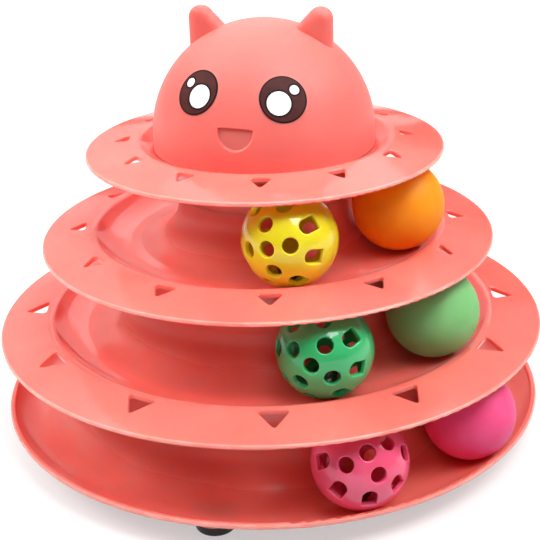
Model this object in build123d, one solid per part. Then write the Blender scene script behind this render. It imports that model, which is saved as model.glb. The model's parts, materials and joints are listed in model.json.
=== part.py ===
from build123d import *
from math import atan2, cos, degrees, radians, sin, sqrt, tan
import os

# Cat ball track toy: a floor dish, three stacked tiers with ball troughs and a cat-head cap.
# Millimetres. The floor is z = 0, the stack's axis is Z and the viewer stands on the -Y side.

# Balls and the track they roll on
ball_diameter = 40.0
running_gap = 0.3
ball_hub_gap = 2.75
trough_slack = 4.0
trough_flat = 4.75
ball_headroom = 0.4

# Tiers
wall = 2.0
rim_radius = 125.0
rim_reach = 39.75
neck_radius = 13.0
brim_angle = 11.0
crest_radius = 4.0
lip_round = 0.8
hub_straight = 4.2
spigot_height = 8.0
spigot_wall = 1.7
spigot_root = 4.0
skirt_fillet = 2.5
skirt_land = 1.0

# Triangular holes in the brims, from the lower tier up
hole_count = 12
hole_widths = (12.1, 9.4, 7.8)
hole_lengths = (9.8, 7.2, 6.8)
hole_tip_insets = (10.5, 12.0, 12.4)
hole_corner = 1.0
hole_chamfer = 0.4
first_hole_azimuths = (-90.0, -90.0, -92.0)

# Base dish and feet
base_hub_gap = 1.25
base_headroom = 1.3
base_trough_slack = 2.5
base_reach = 18.5
bead_width = 2.7
foot_diameter = 17.0
foot_height = 7.0
foot_round = 1.2
foot_pocket = 1.5
foot_pocket_gap = 0.2
foot_boss_wall = 1.6
foot_inset = 2.2
foot_names = ("front", "right", "back", "left")
front_foot_azimuth = -104.0
floor_wall_over_foot = 1.0

# Head
dome_radius = 49.3
dome_base = 7.8
dome_wall = 2.5
dome_gap = 0.4
dome_edge_round = 0.6
face_azimuth = -104.6
face_tilt = 2.5
ear_spread = 26.4
ear_rise = 8.0
ear_tip_radius = 5.4
ear_inner_slope = 46.0
ear_thickness = 9.0
ear_edge_round = 4.2
eye_spread = 25.8
eye_height = 33.5
eye_radius = 9.85
eye_film = 0.3
big_spot = {"outward": -2.05, "up": -1.7, "radius": 5.0}
small_spot = {"outward": 5.05, "up": 3.45, "radius": 2.0}
mouth_height = 21.3
mouth_radius = 7.9
mouth_depth = 1.2
mouth_taper = 25.0

# Lattice balls and their bells
shell_wall = 2.0
rabbet_depth = 1.5
rabbet_gap = 0.1
round_hole = 6.5
ring_polar = 29.0
ring_holes = 4
slot_polar = 58.0
slot_holes = 8
slot_width = 6.0
slot_length = 8.0
slot_corner = 0.4
hole_edge_round = 0.5
bell_diameter = 11.0
bell_wall = 0.6
bell_slit = 1.2
bell_eye = 2.4
bell_eye_spread = 7.2
pellet_diameter = 3.0

# Azimuth of each plain ball, and azimuth, pole direction and twist of each lattice ball
plain_balls = {"orange": ("middle", -24.0), "green": ("lower", -35.3), "pink": ("base", -38.1)}
lattice_balls = {
    "yellow": ("middle", -81.8, (-119.5, 7.4), 13.7),
    "emerald": ("lower", -75.4, (-109.4, 7.1), 59.3),
    "rose": ("base", -71.4, (-82.8, 41.1), 22.3),
}

# How many times its depth a cutter is made, so that it reaches past what it cuts
cut_past = 2

# Two points nearer than this are one
same_point = 1e-6

# Sizes that follow from the ones above
ball_radius = ball_diameter / 2
tier_step = ball_radius + ball_hub_gap
trough_radius = ball_radius + trough_slack
flare_radius = tier_step - trough_flat
brim_slope = tan(radians(brim_angle))
tier_names = ("lower", "middle", "upper")
rim_radii = [rim_radius - i * tier_step for i in range(len(tier_names))]
track_radii = [r - rim_reach for r in rim_radii]
hub_radii = [*track_radii[1:], neck_radius]
flares = [min(flare_radius, t - wall - skirt_land - h) for t, h in zip(track_radii, hub_radii)]
base_hub_radius = track_radii[0]
base_track = base_hub_radius + ball_radius + base_hub_gap
base_flare = min(flare_radius, base_track - base_hub_radius)
base_trough_radius = ball_radius + base_trough_slack
base_rim_radius = base_track + base_reach
foot_track = base_track - foot_inset
foot_azimuths = {n: front_foot_azimuth + i * 360 / len(foot_names) for i, n in enumerate(foot_names)}

# Heights, from the floor up
base_floor = foot_height + floor_wall_over_foot
base_shoulder = base_floor + base_flare + hub_straight
lower_rim = base_floor + ball_diameter + base_headroom
tier_pitch = ball_diameter + ball_headroom
rim_heights = [lower_rim + i * tier_pitch for i in range(len(tier_names))]
seat_heights = [base_shoulder] + [z + flare + hub_straight for z, flare in zip(rim_heights, flares)]
top_rim = rim_heights[-1]


def turned(section):
    """A solid of revolution about Z from a section drawn as (radius, height)."""
    return revolve(Plane.XZ * section, Axis.Z)


def rounded(section, corners):
    """The section with each (point, radius) corner rounded."""
    for point, radius in corners:
        corner = section.vertices().sort_by_distance(Vector(*point))[0]
        section = fillet(corner, radius)
    return section


def arc_through(center, radius, start, end):
    """Arc about a centre between the directions of two points, the short way round."""
    a = degrees(atan2(start[1] - center[1], start[0] - center[0]))
    b = degrees(atan2(end[1] - center[1], end[0] - center[0]))
    return CenterArc(center, radius, a, (b - a + 180) % 360 - 180)


def brim_meets_trough(rim, lip, center, radius):
    """Where a brim's sloping line, from (rim, lip) inward and up, meets the trough's arc."""
    a = 1 + brim_slope**2
    reach = rim - center[0]
    drop = lip - center[1] + brim_slope * reach
    half = brim_slope * drop
    offset = (half + sqrt(half**2 - a * (drop**2 - radius**2))) / a
    return (center[0] + offset, lip + brim_slope * (reach - offset))


def hub_lines(hub, floor, shoulder):
    """Outline of a hub from the trough's floor, up over its spigot and down to its underside."""
    flare = shoulder - hub_straight - floor
    center = (hub + flare, floor + flare)
    outer = spigot_outer(hub)
    inner = outer - spigot_wall
    root = shoulder - spigot_root
    bore = hub - wall
    points = [
        (hub, floor + flare), (hub, shoulder), (outer, shoulder), (outer, shoulder + spigot_height),
        (inner, shoulder + spigot_height), (inner, root), (bore, root - (bore - inner)),
        (bore, floor + flare),
    ]
    return [
        arc_through(center, flare, (hub + flare, floor), points[0]),
        Polyline(*points),
        arc_through(center, flare + wall, points[-1], (hub + flare, floor - wall)),
    ]


def spigot_outer(hub):
    return hub - wall - running_gap


def tier(index):
    """One tier: lipped brim, ball trough, hub above and skirt below."""
    rim, track, hub = rim_radii[index], track_radii[index], hub_radii[index]
    base = rim_heights[index]
    shoulder = seat_heights[index + 1]
    flat_end = (hub + flares[index], base)
    center = (track, base + trough_radius)
    crest = brim_meets_trough(rim, base + wall, center, trough_radius)
    under = brim_meets_trough(rim, base, center, trough_radius + wall)
    skirt_bottom = seat_heights[index]
    skirt_top = base - wall
    lines = [
        Line((rim, base + wall), crest),
        arc_through(center, trough_radius, crest, (track, base)),
        Line((track, base), flat_end),
        *hub_lines(hub, base, shoulder),
        Polyline(
            (flat_end[0], skirt_top), (track - wall, skirt_top), (track - wall, skirt_bottom),
            (track, skirt_bottom), (track, skirt_top),
        ),
        arc_through(center, trough_radius + wall, (track, skirt_top), under),
        Polyline(under, (rim, base), (rim, base + wall)),
    ]
    corners = [
        (crest, crest_radius), ((rim, base), lip_round), ((rim, base + wall), lip_round),
        ((track, skirt_top), skirt_fillet),
    ]
    body = turned(rounded(make_face(lines), corners))
    return body - brim_holes(index)


def brim_holes(index):
    """Ring of rounded triangles, flat side inward, cut square to the brim and chamfered on top."""
    width, length, inset = hole_widths[index], hole_lengths[index], hole_tip_insets[index]
    half_angle = atan2(width / 2, length)
    tip = hole_corner * (1 / sin(half_angle) - 1)
    foot = hole_corner * (1 / tan((radians(90) - half_angle) / 2) - 1)
    outline = make_face(Polyline(
        (-length / 2, -width / 2 - foot), (length / 2 + tip, 0), (-length / 2, width / 2 + foot), close=True,
    ))
    outline = fillet(outline.vertices(), hole_corner)
    middle = inset + length / 2
    slope = radians(brim_angle)
    top = Plane(
        origin=(rim_radii[index] - middle, 0, rim_heights[index] + wall + brim_slope * middle),
        x_dir=(cos(slope), 0, -sin(slope)), z_dir=(sin(slope), 0, cos(slope)),
    )
    cutter = extrude(top * outline, cut_past * wall, both=True)
    flared = extrude(top.offset(-hole_chamfer) * outline, cut_past * hole_chamfer, taper=-45)
    step = 360 / hole_count
    first = first_hole_azimuths[index]
    return [Rot(0, 0, first + i * step) * (cutter + flared) for i in range(hole_count)]


def base_dish():
    """Floor dish with a rolled lip, ball trough, hub and pockets for the feet."""
    hub, track = base_hub_radius, base_track
    center = (track, base_floor + base_trough_radius)
    bead = bead_width / 2
    middle = trough_point(center, base_trough_radius + wall / 2, base_rim_radius - bead)
    inner_end = circles_meet(center, base_trough_radius, middle, bead)
    outer_end = circles_meet(center, base_trough_radius + wall, middle, bead)
    far_end = past_along_arc(middle, bead, center)
    flat_end = (hub + base_flare, base_floor)
    flare_center = (flat_end[0], base_floor + base_flare)
    floor_edges = [
        arc_through(center, base_trough_radius, inner_end, (track, base_floor)),
        *floor_line((track, base_floor), flat_end),
    ]
    body = turned(make_face([
        *floor_edges,
        *hub_lines(hub, base_floor, base_shoulder),
        *floor_line((flat_end[0], base_floor - wall), (track, base_floor - wall)),
        arc_through(center, base_trough_radius + wall, (track, base_floor - wall), outer_end),
        arc_through(middle, bead, outer_end, far_end),
        arc_through(middle, bead, far_end, inner_end),
    ]))
    flare_top = (hub, flare_center[1])
    ball_space = turned(make_face([
        *floor_edges,
        arc_through(flare_center, base_flare, flat_end, flare_top),
        Polyline(flare_top, (inner_end[0], flare_top[1]), inner_end),
    ]))
    for azimuth in foot_azimuths.values():
        body += foot_boss(azimuth) - ball_space
    for azimuth in foot_azimuths.values():
        body -= at_foot(azimuth) * upright_cylinder(
            foot_diameter / 2 + foot_pocket_gap, foot_height - foot_pocket, foot_height)
    return body


def past_along_arc(point, distance, center):
    """The point at a distance past another, square to its radius from a centre, on the upper side."""
    dx, dz = point[0] - center[0], point[1] - center[1]
    size = sqrt(dx**2 + dz**2)
    return (point[0] - dz / size * distance, point[1] + dx / size * distance)


def circles_meet(center, radius, bead_center, bead):
    """Where an arc about a centre runs into a bead, on the side of the arc's lowest point."""
    dx, dz = bead_center[0] - center[0], bead_center[1] - center[1]
    gap = sqrt(dx**2 + dz**2)
    along = (gap**2 + radius**2 - bead**2) / (2 * gap)
    across = sqrt(radius**2 - along**2)
    return (
        center[0] + dx / gap * along + dz / gap * across,
        center[1] + dz / gap * along - dx / gap * across,
    )


def floor_line(start, end):
    """The flat of a trough's floor, which is empty where its two arcs meet."""
    return [Line(start, end)] if abs(start[0] - end[0]) > same_point else []


def trough_point(center, radius, at_radius):
    return (at_radius, center[1] - sqrt(radius**2 - (at_radius - center[0]) ** 2))


def upright_cylinder(radius, bottom, top):
    return Pos(0, 0, bottom) * extrude(Circle(radius), top - bottom)


def at_foot(azimuth):
    return Rot(0, 0, azimuth) * Pos(foot_track, 0, 0)


def foot_boss(azimuth):
    """Round boss from the pocket's mouth up into the dish's floor."""
    radius = foot_diameter / 2 + foot_pocket_gap + foot_boss_wall
    return at_foot(azimuth) * upright_cylinder(radius, foot_height - foot_pocket, base_floor + wall)


def foot(azimuth):
    """Rubber pad with rounded lower edge."""
    radius = foot_diameter / 2
    outline = make_face(Polyline((0, 0), (radius, 0), (radius, foot_height), (0, foot_height), close=True))
    return at_foot(azimuth) * turned(rounded(outline, [((radius, 0), foot_round)]))


def tier_top(radius):
    """Height of the upper tier's top surface at a radius."""
    center = (track_radii[-1], top_rim + trough_radius)
    crest = brim_meets_trough(rim_radii[-1], top_rim + wall, center, trough_radius)
    if radius > crest[0]:
        return top_rim + wall + brim_slope * (rim_radii[-1] - radius)
    return trough_point(center, trough_radius, radius)[1] if radius > center[0] else top_rim


dome_center = top_rim + dome_base
dome_bottom = max(tier_top(dome_radius), tier_top(dome_radius - dome_wall)) + dome_gap
face_plane = Plane(
    origin=(0, 0, dome_center), z_dir=(cos(radians(face_azimuth)), sin(radians(face_azimuth)), 0),
    x_dir=(-sin(radians(face_azimuth)), cos(radians(face_azimuth)), 0),
)


def dome_solid(grow):
    """Section of the head's round cap on a short straight side, grown or shrunk by a thickness."""
    radius = dome_radius + grow
    return make_face([
        CenterArc((0, dome_center), radius, 0, 90),
        Polyline((0, dome_center + radius), (0, dome_bottom), (radius, dome_bottom), (radius, dome_center)),
    ])


def dome_reach(level):
    """Distance from the dome's centre line to its surface at a level above its centre."""
    return sqrt(dome_radius**2 - level**2)


def ear(side, inset):
    """Rounded upright ear in the plane across the head, shrunk on every side by an inset."""
    tip = (ear_spread, dome_reach(ear_spread) + ear_rise)
    radius = ear_tip_radius - inset
    slope = radians(ear_inner_slope)
    inner_start = (tip[0] - radius * sin(slope), tip[1] + radius * cos(slope))
    run = inner_start[1] / tan(slope) / 2
    inner_end = (inner_start[0] - run, inner_start[1] - run * tan(slope))
    outline = make_face([
        arc_through(tip, radius, (tip[0] + radius, tip[1]), inner_start),
        Polyline(inner_start, inner_end, (tip[0] + radius, inner_end[1]), (tip[0] + radius, tip[1])),
    ])
    thickness = ear_thickness / 2 - inset
    solid = extrude(face_plane * outline, thickness, both=True)
    across = Axis(face_plane.origin, face_plane.z_dir)
    ends = solid.faces().filter_by(across)
    solid = fillet(ends.edges(), ear_edge_round - inset)
    return solid if side > 0 else mirror(solid, Plane(face_plane.origin, z_dir=face_plane.x_dir))


def head_dome():
    """Hollow head with moulded ears, a recessed mouth and a socket for the upper tier's spigot."""
    outer = turned(rounded(dome_solid(0), [((dome_radius, dome_bottom), dome_edge_round)]))
    inner = turned(dome_solid(-dome_wall))
    shell = outer + ear(1, 0) + ear(-1, 0) - inner - ear(1, dome_wall) - ear(-1, dome_wall)
    shell -= mouth_recess()
    hub = hub_radii[-1]
    socket = upright_cylinder(hub, seat_heights[-1], dome_center + dome_radius)
    socket -= upright_cylinder(hub - wall, seat_heights[-1], dome_center + dome_radius)
    return shell + (socket & turned(dome_solid(-dome_wall / 2)))


def mouth_recess():
    """Half disc pressed into the face, flat side up, with walls that slope outward."""
    level = mouth_height - dome_base
    surface = dome_reach(level)
    below = cut_past * mouth_depth
    radius = mouth_radius - below * tan(radians(mouth_taper))
    middle = face_plane.offset(surface - below).location * Pos(0, level) * Rot(0, 0, -face_tilt)
    disc = Circle(radius) & Pos(0, -radius) * Rectangle(2 * radius, 2 * radius)
    pressed = extrude(middle * disc, cut_past * below, taper=-mouth_taper)
    return pressed - turned(dome_solid(-mouth_depth))


def eye_frame(side):
    """Frame on the dome at an eye's centre: x along the brow toward the viewer's right, z outward."""
    azimuth = radians(face_azimuth + side * eye_spread)
    level = eye_height - dome_base
    level -= side * dome_reach(level) * sin(radians(eye_spread)) * tan(radians(face_tilt))
    outward = Vector(dome_reach(level) * cos(azimuth), dome_reach(level) * sin(azimuth), level)
    return Plane(
        origin=Vector(0, 0, dome_center) + outward, x_dir=(-sin(azimuth), cos(azimuth), 0),
        z_dir=outward.normalized(),
    )


def eye_pieces(side):
    """Dark film of one eye and the white spots let into it."""
    frame = eye_frame(side)
    film = turned(dome_solid(eye_film)) - turned(dome_solid(0))

    def disc(outward, up, radius):
        return extrude(frame * Pos(side * outward, up) * Circle(radius), eye_radius, both=True)

    spots = [disc(**spot) for spot in (big_spot, small_spot)]
    dark = film & disc(0, 0, eye_radius)
    for spot in spots:
        dark -= spot
    return dark, [film & spot for spot in spots]


def ball_center(level, azimuth):
    """Centre of a ball on the base or on a tier's track."""
    if level == "base":
        track, floor = base_track, base_floor
    else:
        index = tier_names.index(level)
        track, floor = track_radii[index], rim_heights[index]
    a = radians(azimuth)
    return Vector(track * cos(a), track * sin(a), floor + running_gap + ball_radius)


def plain_ball(level, azimuth):
    return Pos(ball_center(level, azimuth)) * (Sphere(ball_radius) - Sphere(ball_radius - shell_wall))


def polar_plane(polar, azimuth):
    """Plane square to a direction from a ball's centre, with x toward the pole."""
    t, a = radians(polar), radians(azimuth)
    return Plane(
        origin=(0, 0, 0), z_dir=(sin(t) * cos(a), sin(t) * sin(a), cos(t)),
        x_dir=(-cos(t) * cos(a), -cos(t) * sin(a), sin(t)),
    )


def half_shell(with_lip):
    """Perforated half shell about +Z, with the rabbet's lip or its recess at the equator."""
    inner = ball_radius - shell_wall
    rabbet = inner + shell_wall / 2
    section = make_face([
        CenterArc((0, 0), ball_radius, 0, 90), Line((0, ball_radius), (0, inner)),
        CenterArc((0, 0), inner, 90, -90), Line((inner, 0), (ball_radius, 0)),
    ])
    if with_lip:
        lip_width = rabbet - rabbet_gap - inner
        section += Pos(inner + lip_width / 2, 0) * Rectangle(lip_width, rabbet_depth * 2)
    else:
        section -= Pos(rabbet / 2, 0) * Rectangle(rabbet, (rabbet_depth + rabbet_gap) * 2)
    shell = turned(section)
    reach = cut_past * ball_radius
    shell -= extrude(Circle(round_hole / 2), reach)
    for i in range(ring_holes):
        shell -= extrude(polar_plane(ring_polar, i * 360 / ring_holes) * Circle(round_hole / 2), reach)
    for i in range(slot_holes):
        azimuth = (i + 0.5) * 360 / slot_holes
        shell -= extrude(polar_plane(slot_polar, azimuth) * slot_outline(), reach)
    return fillet(hole_mouths(shell), hole_edge_round)


def slot_outline():
    """Slot with a round end toward the pole and a square end with rounded corners."""
    straight = slot_length - slot_width / 2
    square_end = -slot_length / 2
    outline = Pos(slot_length / 2 - slot_width / 2, 0) * Circle(slot_width / 2)
    outline += Pos((straight - slot_length) / 2, 0) * Rectangle(straight, slot_width)
    ends = [(square_end, side * slot_width / 2) for side in (1, -1)]
    return rounded(outline, [(end, slot_corner) for end in ends])


def hole_mouths(shell):
    """Edges of a shell's holes on its outside."""
    outside = [e for e in shell.edges() if on_ball(e)]
    return [e for e in outside if abs(e.position_at(0.5).Z) > rabbet_depth]


def on_ball(edge):
    return all(abs(edge.position_at(t).length - ball_radius) < same_point for t in (0, 0.5, 1))


def lattice_place(level, azimuth, pole, twist):
    """Place of a lattice ball, with its front pole turned to a direction."""
    a, e = radians(pole[0]), radians(pole[1])
    frame = Plane(
        origin=ball_center(level, azimuth), x_dir=(-sin(a), cos(a), 0),
        z_dir=(cos(e) * cos(a), cos(e) * sin(a), sin(e)),
    )
    return frame.location * Rot(0, 0, twist)


def bell_center(level, azimuth):
    drop = ball_radius - shell_wall - running_gap - bell_diameter / 2
    return ball_center(level, azimuth) - Vector(0, 0, drop)


def bell():
    """Hollow round bell with a slit between two round eyes underneath."""
    radius = bell_diameter / 2
    body = Sphere(radius) - Sphere(radius - bell_wall)
    slit = Rectangle(bell_eye_spread, bell_slit)
    for side in (1, -1):
        slit += Pos(side * bell_eye_spread / 2, 0) * Circle(bell_eye / 2)
    return body - extrude(slit, -radius)


def pellet_drop():
    return bell_diameter / 2 - bell_wall - running_gap - pellet_diameter / 2


def all_pieces():
    """Every piece of the toy by its node's name."""
    pieces = {"base_dish": base_dish()}
    for name, azimuth in foot_azimuths.items():
        pieces[f"foot_{name}"] = foot(azimuth)
    for index, name in enumerate(tier_names):
        pieces[f"{name}_tier"] = tier(index)
    pieces["head_dome"] = head_dome()
    for side, name in ((-1, "left"), (1, "right")):
        dark, spots = eye_pieces(side)
        pieces[f"{name}_eye"] = dark
        pieces[f"{name}_eye_spots"] = Compound(children=spots)
    for name, (level, azimuth) in plain_balls.items():
        pieces[f"{name}_ball"] = plain_ball(level, azimuth)
    front_shell, back_shell = half_shell(True), Rot(180, 0, 0) * half_shell(False)
    for name, (level, azimuth, pole, twist) in lattice_balls.items():
        place = lattice_place(level, azimuth, pole, twist)
        hang = Pos(bell_center(level, azimuth))
        pieces[f"{name}_front_shell"] = place * front_shell
        pieces[f"{name}_back_shell"] = place * back_shell
        pieces[f"{name}_bell"] = hang * Rot(0, 0, azimuth) * bell()
        pieces[f"{name}_bell_pellet"] = hang * Pos(0, 0, -pellet_drop()) * Sphere(pellet_diameter / 2)
    return pieces


os.makedirs("parts", exist_ok=True)
for node, shape in all_pieces().items():
    export_step(shape, f"parts/{node}.step")
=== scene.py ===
import json
from math import cos, pi, radians, sin

import bmesh
import bpy
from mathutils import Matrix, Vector


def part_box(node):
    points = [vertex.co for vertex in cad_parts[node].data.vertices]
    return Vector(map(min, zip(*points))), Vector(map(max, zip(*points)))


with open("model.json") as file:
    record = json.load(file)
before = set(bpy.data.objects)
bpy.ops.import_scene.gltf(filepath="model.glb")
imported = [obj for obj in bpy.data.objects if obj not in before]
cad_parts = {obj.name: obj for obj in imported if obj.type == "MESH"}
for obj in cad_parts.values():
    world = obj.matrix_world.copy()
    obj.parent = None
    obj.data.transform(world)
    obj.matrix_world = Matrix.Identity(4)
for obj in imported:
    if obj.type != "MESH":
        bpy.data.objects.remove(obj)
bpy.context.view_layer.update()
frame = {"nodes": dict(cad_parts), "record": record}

# Cat ball track toy: glossy coral dishes, a satin cat head and six balls on a white studio floor.
# Metres. The floor is z = 0, the stack's axis is Z and the viewer stands on the -Y side.

# Camera: its place, its turn about X, Y and Z in degrees, and its lens and sensor in millimetres
camera_place = (0.0, -0.50878, 0.28657)
camera_turn = (66.949, 1.7925, -0.8255)
camera_lens = 78.88
sensor_width = 36.0
nearest_seen = 0.01

# Soft boxes round the toy: angles in degrees, distance from the target, size and radiance
light_target = (0.0, 0.0, 0.1)
soft_boxes = {
    "front_box": {"azimuth": -57, "elevation": 62, "away": 1.4, "size": (0.6, 0.6), "radiance": 11.5},
    "right_box": {"azimuth": -9, "elevation": 43, "away": 1.4, "size": (0.6, 0.6), "radiance": 8.6},
    "left_box": {"azimuth": 184, "elevation": 39, "away": 1.4, "size": (1.0, 0.6), "radiance": 7.0},
    "low_box": {"azimuth": -75, "elevation": 14, "away": 1.6, "size": (1.0, 0.5), "radiance": 1.0},
}

# Soft boxes that only fill the shade and show in no gloss
unmirrored = ("left_box", "low_box")

# White panels over and behind the toy: place, the way each faces, size and radiance
down, forward = (0, 0, -1), (0, -1, 0)
panels = {
    "over_left": {"place": (-0.925, 0.2, 1.1), "facing": down, "size": (1.15, 1.4), "radiance": 1.7},
    "over_middle": {"place": (0.125, 0.2, 1.1), "facing": down, "size": (0.95, 1.4), "radiance": 1.2},
    "back_left": {"place": (-0.925, 1.75, 1.1), "facing": down, "size": (1.15, 1.7), "radiance": 0.65},
    "back_middle": {"place": (0.075, 1.75, 1.1), "facing": down, "size": (0.85, 1.7), "radiance": 1.5},
    "back_low": {"place": (-0.45, 2.6, 0.7), "facing": forward, "size": (2.1, 0.8), "radiance": 0.6},
    "back_right": {"place": (0.875, 1.75, 1.1), "facing": down, "size": (0.75, 1.7), "radiance": 0.35},
}

# The room's light near the floor and higher up, and the rise of a direction over which it changes
world_low = 0.04
world_high = 0.08
world_band = (0.25, 0.45)

# The floor: its side, its grey, the light of its own near the toy and far off, and where that changes
floor_size = 60.0
floor_tone = 0.45
floor_glow = (0.5, 1.0)
floor_glow_reach = (0.4, 1.6)

# Colours as red, green and blue from 0 to 255
# The third coral is the colour of a painted highlight along the dishes' rims
coral_deep, coral_pale, coral_highlight = (246, 114, 103), (250, 125, 114), (253, 176, 166)
satin_deep, satin_pale = (240, 115, 107), (244, 125, 117)
rubber_dark, rubber_dusty = (16, 15, 16), (30, 28, 29)
eye_dark, eye_light, eye_line = (68, 34, 33), (82, 43, 41), (26, 13, 13)
white_pure, white_warm = (252, 252, 252), (244, 241, 238)
steel_bright, steel_tarnish = (120, 116, 112), (52, 46, 42)
ball_paints = {
    "orange_plastic": ((252, 146, 8), (255, 158, 18)),
    "green_plastic": ((120, 187, 116), (130, 197, 126)),
    "pink_plastic": ((244, 76, 132), (249, 88, 145)),
    "yellow_gloss": ((226, 210, 28), (234, 220, 46)),
    "emerald_gloss": ((60, 176, 108), (72, 188, 120)),
    "rose_gloss": ((240, 84, 122), (246, 98, 135)),
}

# How far light travels inside the coral, each colour's share of that, and how much of the light does
coral_depth = 0.005
coral_bleed = (1.0, 0.18, 0.12)
coral_glow = 1.0

# The same for the thin hollow balls
ball_depth = 0.004
ball_bleeds = {
    "orange_plastic": (1.0, 0.45, 0.2),
    "green_plastic": (0.8, 1.0, 0.5),
    "pink_plastic": (1.0, 0.35, 0.6),
    "yellow_gloss": (1.0, 0.9, 0.3),
    "emerald_gloss": (0.4, 1.0, 0.6),
    "rose_gloss": (1.0, 0.35, 0.5),
}
ball_glow = 0.6

# Least and most roughness of the glossy tiers and of the duller base
tier_polish = (0.07, 0.11)
base_polish = (0.16, 0.2)

# The roughness that a duller hub adds, and the radii over which it fades into each dish's track
hub_dullness = 0.24
hub_bands = {
    "base_dish": (0.088, 0.096),
    "lower_tier": (0.066, 0.076),
    "middle_tier": (0.044, 0.054),
    "upper_tier": (0.022, 0.03),
}

# Rub marks: the stretch of their pattern round the axis and across it, and the roughness they add
rubs_along = 3.0
rubs_across = 900.0
rub_roughness = (0, 0.05)

# How far in from a rim its painted highlight starts and is full, and how much of the edge the painted
# highlight covers
rim_highlight_band = (0.0009, 0.0004)
rim_highlight_share = (0.4, 0.9)

# Width of the dark line round the eyes and round their white spots
eye_rim_width = 0.0004
spot_line_width = 0.0005

# Finding the eyes' patches: how near two points are one, and the steps of closing in on a patch
weld_distance = 1e-7
cover_steps = 400


def linear(paint):
    """A colour from 0 to 255 as the linear light that a shader takes."""
    channels = [value / 255 for value in paint]
    bent = [c / 12.92 if c <= 0.04045 else ((c + 0.055) / 1.055) ** 2.4 for c in channels]
    return (*bent, 1.0)


class Shader:
    """The nodes of one material, with short calls to add and join them."""

    def __init__(self, name):
        self.material = bpy.data.materials.new(name)
        self.material.use_nodes = True
        self.tree = self.material.node_tree
        self.surface = self.tree.nodes["Principled BSDF"]
        self.place = self.add("ShaderNodeTexCoord").outputs["Object"]

    def add(self, kind, inputs=None, **settings):
        """A new node with its settings and inputs, each input a value or another node's output."""
        node = self.tree.nodes.new(kind)
        for name, value in settings.items():
            setattr(node, name, value)
        for name, value in (inputs or {}).items():
            self.put(node.inputs[name], value)
        return node

    def put(self, socket, value):
        """Joins an output to a socket, or sets the socket to a plain value."""
        if isinstance(value, bpy.types.NodeSocket):
            self.tree.links.new(value, socket)
        else:
            socket.default_value = value

    def set(self, **inputs):
        """Sets the surface's inputs by name, with underscores for spaces."""
        for name, value in inputs.items():
            self.put(self.surface.inputs[name.replace("_", " ")], value)

    def noise(self, scale, detail, place=None):
        """Soft noise with so many features a metre, and so many finer layers."""
        inputs = {"Vector": place or self.place, "Scale": scale, "Detail": detail}
        return self.add("ShaderNodeTexNoise", inputs).outputs[0]

    def spread(self, value, low, high, start=0.3, end=0.7):
        """Stretches a value's range from start to end over low to high, and holds it there."""
        inputs = {"Value": value, "From Min": start, "From Max": end, "To Min": low, "To Max": high}
        return self.add("ShaderNodeMapRange", inputs).outputs["Result"]

    def share(self, value, start=0.3, end=0.7):
        """A value's range from start to end as a share from 0 to 1."""
        return self.spread(value, 0, 1, start, end)

    def math(self, operation, a, b):
        """An operation on two numbers."""
        return self.add("ShaderNodeMath", {0: a, 1: b}, operation=operation).outputs[0]

    def vector(self, operation, a, b=None):
        """The node of an operation on one vector or two."""
        inputs = {0: a} if b is None else {0: a, 1: b}
        return self.add("ShaderNodeVectorMath", inputs, operation=operation)

    def mix(self, share, first, second):
        """A colour between two others, by a share. A colour mix has its colours at inputs 6 and 7."""
        inputs = {0: share, 6: first, 7: second}
        return self.add("ShaderNodeMix", inputs, data_type="RGBA").outputs[2]

    def bump(self, height, depth, under=None):
        """Relief of a real depth in metres, laid over another relief."""
        inputs = {"Height": height, "Distance": depth, "Strength": 1.0}
        if under:
            inputs["Normal"] = under
        return self.add("ShaderNodeBump", inputs).outputs["Normal"]

    def distance(self, point):
        """Distance of the surface from a point in the frame."""
        return self.vector("DISTANCE", self.place, point).outputs["Value"]

    def flat_place(self):
        """The surface's place seen from above."""
        return self.vector("MULTIPLY", self.place, (1, 1, 0)).outputs[0]

    def from_axis(self):
        """Distance of the surface from the stack's axis."""
        return self.vector("LENGTH", self.flat_place()).outputs["Value"]

    def round_the_axis(self, along, across):
        """Coordinates that change slowly round the stack's axis and quickly away from it."""
        turn = self.vector("NORMALIZE", self.flat_place()).outputs[0]
        turn = self.vector("MULTIPLY", turn, (along, along, 0)).outputs[0]
        out = self.math("MULTIPLY", self.from_axis(), across)
        out = self.add("ShaderNodeCombineXYZ", {"Z": out}).outputs[0]
        return self.vector("ADD", turn, out).outputs[0]


def coral_gloss(node, polish):
    """Glossy moulded plastic: slight waves, hair-fine rub marks round the track and a pale painted
    highlight along the rim.
    """
    s = Shader(f"coral_gloss_{node}")
    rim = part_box(node)[1][0]  # the rim's radius is the box's reach along X
    tone = s.share(s.noise(scale=24, detail=3))
    paint = s.mix(tone, linear(coral_deep), linear(coral_pale))
    # A pale band painted along the rim as a highlight, broken up by noise
    highlight_start, highlight_full = [rim - inward for inward in rim_highlight_band]
    at_rim = s.share(s.from_axis(), highlight_start, highlight_full)
    highlit_edge = s.math("MULTIPLY", at_rim, s.spread(s.noise(scale=90, detail=3), *rim_highlight_share))
    rubs = s.noise(scale=1, detail=4, place=s.round_the_axis(rubs_along, rubs_across))
    rubbed = s.spread(rubs, *rub_roughness, start=0.5, end=0.75)
    clouded = s.spread(s.noise(scale=40, detail=3), *polish)
    dulled = s.spread(s.from_axis(), hub_dullness, 0, *hub_bands[node])
    waves = s.bump(s.noise(scale=20, detail=1), depth=0.00003)
    skin = s.bump(s.noise(scale=300, detail=2), depth=0.000004, under=waves)
    rough = s.math("ADD", s.math("ADD", clouded, rubbed), dulled)
    s.set(Base_Color=s.mix(highlit_edge, paint, linear(coral_highlight)), Roughness=rough, IOR=1.5)
    s.set(Normal=s.bump(rubs, depth=0.000002, under=skin))
    s.set(Subsurface_Weight=coral_glow, Subsurface_Radius=coral_bleed, Subsurface_Scale=coral_depth)
    return s.material


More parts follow.
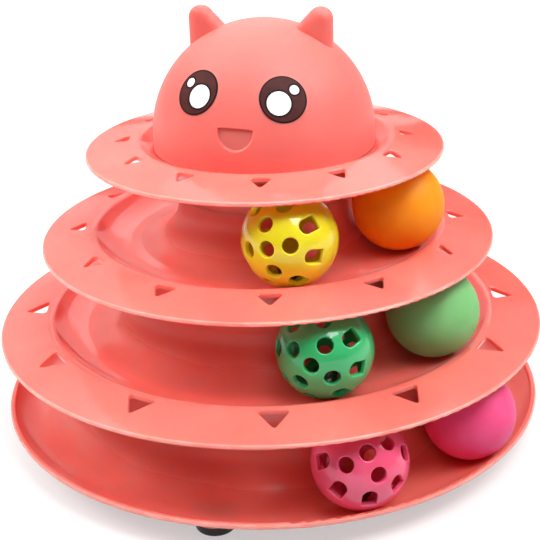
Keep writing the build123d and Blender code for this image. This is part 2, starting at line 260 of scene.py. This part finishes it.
def coral_satin():
    """Satin plastic with the fine grain of an etched mould."""
    s = Shader("coral_satin")
    tone = s.share(s.noise(scale=30, detail=3))
    waves = s.bump(s.noise(scale=26, detail=1), depth=0.00006)
    grain = s.noise(scale=2600, detail=2)
    s.set(Base_Color=s.mix(tone, linear(satin_deep), linear(satin_pale)), IOR=1.45)
    s.set(Roughness=s.spread(s.noise(scale=60, detail=4), low=0.48, high=0.56))
    s.set(Normal=s.bump(grain, depth=0.00001, under=waves))
    s.set(Subsurface_Weight=coral_glow, Subsurface_Radius=coral_bleed, Subsurface_Scale=coral_depth)
    return s.material


def black_rubber():
    """Dark rubber with a little dust and a pitted skin."""
    s = Shader("black_rubber")
    dust = s.share(s.noise(scale=160, detail=5), start=0.45, end=0.75)
    s.set(Base_Color=s.mix(dust, linear(rubber_dark), linear(rubber_dusty)))
    s.set(Roughness=s.spread(s.noise(scale=220, detail=3), low=0.28, high=0.42))
    s.set(Normal=s.bump(s.noise(scale=1400, detail=3), depth=0.00002))
    return s.material


def eye_brown(side):
    """Printed brown film, darker along its rim and along the edges of its white spots."""
    s = Shader(f"eye_brown_{side}")
    place, radius = round_patches(f"{side}_eye")[0]
    line = s.share(s.distance(place), radius - 2 * eye_rim_width, radius - eye_rim_width)
    for place, radius in round_patches(f"{side}_eye_spots"):
        near, far = radius + spot_line_width, radius + 2 * spot_line_width
        edge = s.spread(s.distance(place), low=1, high=0, start=near, end=far)
        line = s.math("MAXIMUM", line, edge)
    ink = s.mix(s.share(s.noise(scale=180, detail=3)), linear(eye_dark), linear(eye_light))
    s.set(Base_Color=s.mix(line, ink, linear(eye_line)), Specular_IOR_Level=0.12)
    s.set(Roughness=s.spread(s.noise(scale=900, detail=2), low=0.5, high=0.6))
    s.set(Normal=s.bump(s.noise(scale=2600, detail=2), depth=0.000006))
    return s.material


def eye_white():
    """White ink of the same print."""
    s = Shader("eye_white")
    tone = s.share(s.noise(scale=300, detail=3), start=0.5, end=0.8)
    s.set(Base_Color=s.mix(tone, linear(white_pure), linear(white_warm)))
    s.set(Roughness=s.spread(s.noise(scale=900, detail=2), low=0.36, high=0.46))
    s.set(Normal=s.bump(s.noise(scale=2600, detail=2), depth=0.000006))
    return s.material


def ball_plastic(slot, mottle, detail):
    """The colour of a ball's plastic, mottled, and the light that travels inside it."""
    s = Shader(slot)
    deep, pale = ball_paints[slot]
    tone = s.share(s.noise(scale=mottle, detail=detail))
    s.set(Base_Color=s.mix(tone, linear(deep), linear(pale)))
    s.set(Subsurface_Weight=ball_glow, Subsurface_Radius=ball_bleeds[slot], Subsurface_Scale=ball_depth)
    return s


def matt_ball(slot):
    """Soft matt plastic with a fine even grain."""
    s = ball_plastic(slot, mottle=90, detail=4)
    grain = s.noise(scale=1700, detail=3)
    s.set(Roughness=s.spread(grain, low=0.48, high=0.62), Specular_IOR_Level=0.3)
    s.set(Normal=s.bump(grain, depth=0.00003))
    return s.material


def gloss_ball(slot):
    """Glossy moulded plastic of the pierced balls, with faint flow marks."""
    s = ball_plastic(slot, mottle=70, detail=4)
    flow = s.bump(s.noise(scale=60, detail=1), depth=0.00003)
    s.set(Roughness=s.spread(s.noise(scale=240, detail=3), low=0.1, high=0.17), IOR=1.5)
    s.set(Normal=s.bump(s.noise(scale=900, detail=2), depth=0.000002, under=flow))
    return s.material


def bell_steel():
    """Plated steel, tarnished in patches and scratched by its rolling."""
    s = Shader("bell_steel")
    patches = s.share(s.noise(scale=420, detail=5), start=0.4, end=0.65)
    s.set(Base_Color=s.mix(patches, linear(steel_bright), linear(steel_tarnish)), Metallic=1.0)
    s.set(Roughness=s.spread(patches, low=0.24, high=0.45, start=0, end=1))
    s.set(Normal=s.bump(s.noise(scale=2200, detail=3), depth=0.00001))
    return s.material


def round_patches(node):
    """Centre and radius of each separate patch of a node's mesh, the largest first."""
    mesh = bmesh.new()
    mesh.from_mesh(frame["nodes"][node].data)
    bmesh.ops.remove_doubles(mesh, verts=mesh.verts, dist=weld_distance)
    left, patches = set(mesh.verts), []
    while left:
        reached = [left.pop()]
        for vertex in reached:
            near = [edge.other_vert(vertex) for edge in vertex.link_edges]
            fresh = [other for other in near if other in left]
            left.difference_update(fresh)
            reached.extend(fresh)
        patches.append(round_cover([vertex.co.copy() for vertex in reached]))
    mesh.free()
    return sorted(patches, key=lambda patch: -patch[1])


def round_cover(points):
    """Centre and radius of the smallest ball round some points, closed in on step by step."""
    center = sum(points, Vector()) / len(points)
    for step in range(1, cover_steps):
        farthest = max(points, key=lambda point: (point - center).length_squared)
        center += (farthest - center) / (step + 1)
    return center, max((point - center).length for point in points)


def dress():
    """Gives every node its own material or that of its slot."""
    made = {"coral_satin": coral_satin(), "black_rubber": black_rubber()}
    made["eye_white"] = eye_white()
    made["bell_steel"] = bell_steel()
    for slot in ball_paints:
        made[slot] = matt_ball(slot) if slot.endswith("plastic") else gloss_ball(slot)
    own = {f"{side}_eye": eye_brown(side) for side in ("left", "right")}
    own["base_dish"] = coral_gloss("base_dish", base_polish)
    for tier in ("lower_tier", "middle_tier", "upper_tier"):
        own[tier] = coral_gloss(tier, tier_polish)
    for part in frame["record"]["subparts"]:
        material = own.get(part["node"]) or made[part["material_slot"]]
        for holder in frame["nodes"][part["node"]].material_slots:
            holder.material = material


def direction(azimuth, elevation):
    """The way out from the toy to something at these angles, in degrees."""
    a, e = radians(azimuth), radians(elevation)
    return Vector((cos(e) * cos(a), cos(e) * sin(a), sin(e)))


def area_light(name, place, facing, size, radiance):
    """A rectangular light whose front faces a direction, with a given radiance."""
    lamp = bpy.data.lights.new(name, "AREA")
    lamp.shape = "RECTANGLE"
    lamp.size, lamp.size_y = size
    lamp.energy = radiance * pi * size[0] * size[1]
    holder = bpy.data.objects.new(name, lamp)
    bpy.context.scene.collection.objects.link(holder)
    holder.location = place
    holder.rotation_mode = "QUATERNION"
    holder.rotation_quaternion = (-facing).to_track_quat("Z", "Y")
    holder.visible_camera = False
    holder.visible_glossy = name not in unmirrored


def lights():
    """Four soft boxes round the toy, and white panels overhead and behind."""
    for name, box in soft_boxes.items():
        outward = direction(box["azimuth"], box["elevation"])
        place = Vector(light_target) + box["away"] * outward
        area_light(name, place, -outward, box["size"], box["radiance"])
    for name, panel in panels.items():
        area_light(name, panel["place"], Vector(panel["facing"]), panel["size"], panel["radiance"])


def studio():
    """The world round the toy: a plain grey room, a little darker toward the floor."""
    world = bpy.data.worlds.new("studio")
    world.use_nodes = True
    bpy.context.scene.world = world
    tree = world.node_tree
    height = tree.nodes.new("ShaderNodeSeparateXYZ")
    tree.links.new(tree.nodes.new("ShaderNodeTexCoord").outputs["Generated"], height.inputs[0])
    level = tree.nodes.new("ShaderNodeMapRange")
    level.inputs["From Min"].default_value, level.inputs["From Max"].default_value = world_band
    level.inputs["To Min"].default_value = world_low
    level.inputs["To Max"].default_value = world_high
    tree.links.new(height.outputs["Z"], level.inputs["Value"])
    tree.links.new(level.outputs["Result"], tree.nodes["Background"].inputs["Strength"])
    tree.nodes["Background"].inputs["Color"].default_value = (1, 1, 1, 1)


def floor():
    """A plain white floor that keeps the toy's shadow and stays white where the lamps don't reach."""
    half = floor_size / 2
    mesh = bpy.data.meshes.new("floor")
    corners = [(-half, -half, 0), (half, -half, 0), (half, half, 0), (-half, half, 0)]
    mesh.from_pydata(corners, [], [(0, 1, 2, 3)])
    plane = bpy.data.objects.new("floor", mesh)
    bpy.context.scene.collection.objects.link(plane)
    s = Shader("floor")
    s.tree.nodes.remove(s.surface)
    paper = s.add("ShaderNodeBsdfDiffuse", {"Color": (floor_tone, floor_tone, floor_tone, 1)})
    rays = s.add("ShaderNodeLightPath").outputs
    seen = s.math("MAXIMUM", rays["Is Camera Ray"], rays["Is Glossy Ray"])
    seen = s.math("MAXIMUM", seen, rays["Is Transmission Ray"])
    level = s.spread(s.distance((0, 0, 0)), *floor_glow, *floor_glow_reach)
    glow = s.add("ShaderNodeEmission", {"Strength": s.math("MULTIPLY", seen, level)})
    both = s.add("ShaderNodeAddShader", {0: paper.outputs[0], 1: glow.outputs[0]})
    s.tree.links.new(both.outputs[0], s.tree.nodes["Material Output"].inputs["Surface"])
    mesh.materials.append(s.material)


def camera():
    """The photograph's view."""
    lens = bpy.data.cameras.new("camera")
    lens.lens = camera_lens
    lens.sensor_width = sensor_width
    lens.clip_start = nearest_seen
    holder = bpy.data.objects.new("camera", lens)
    bpy.context.scene.collection.objects.link(holder)
    holder.location = camera_place
    holder.rotation_euler = [radians(turn) for turn in camera_turn]
    bpy.context.scene.camera = holder


dress()
lights()
studio()
floor()
camera()
bpy.context.scene.view_settings.view_transform = "Standard"
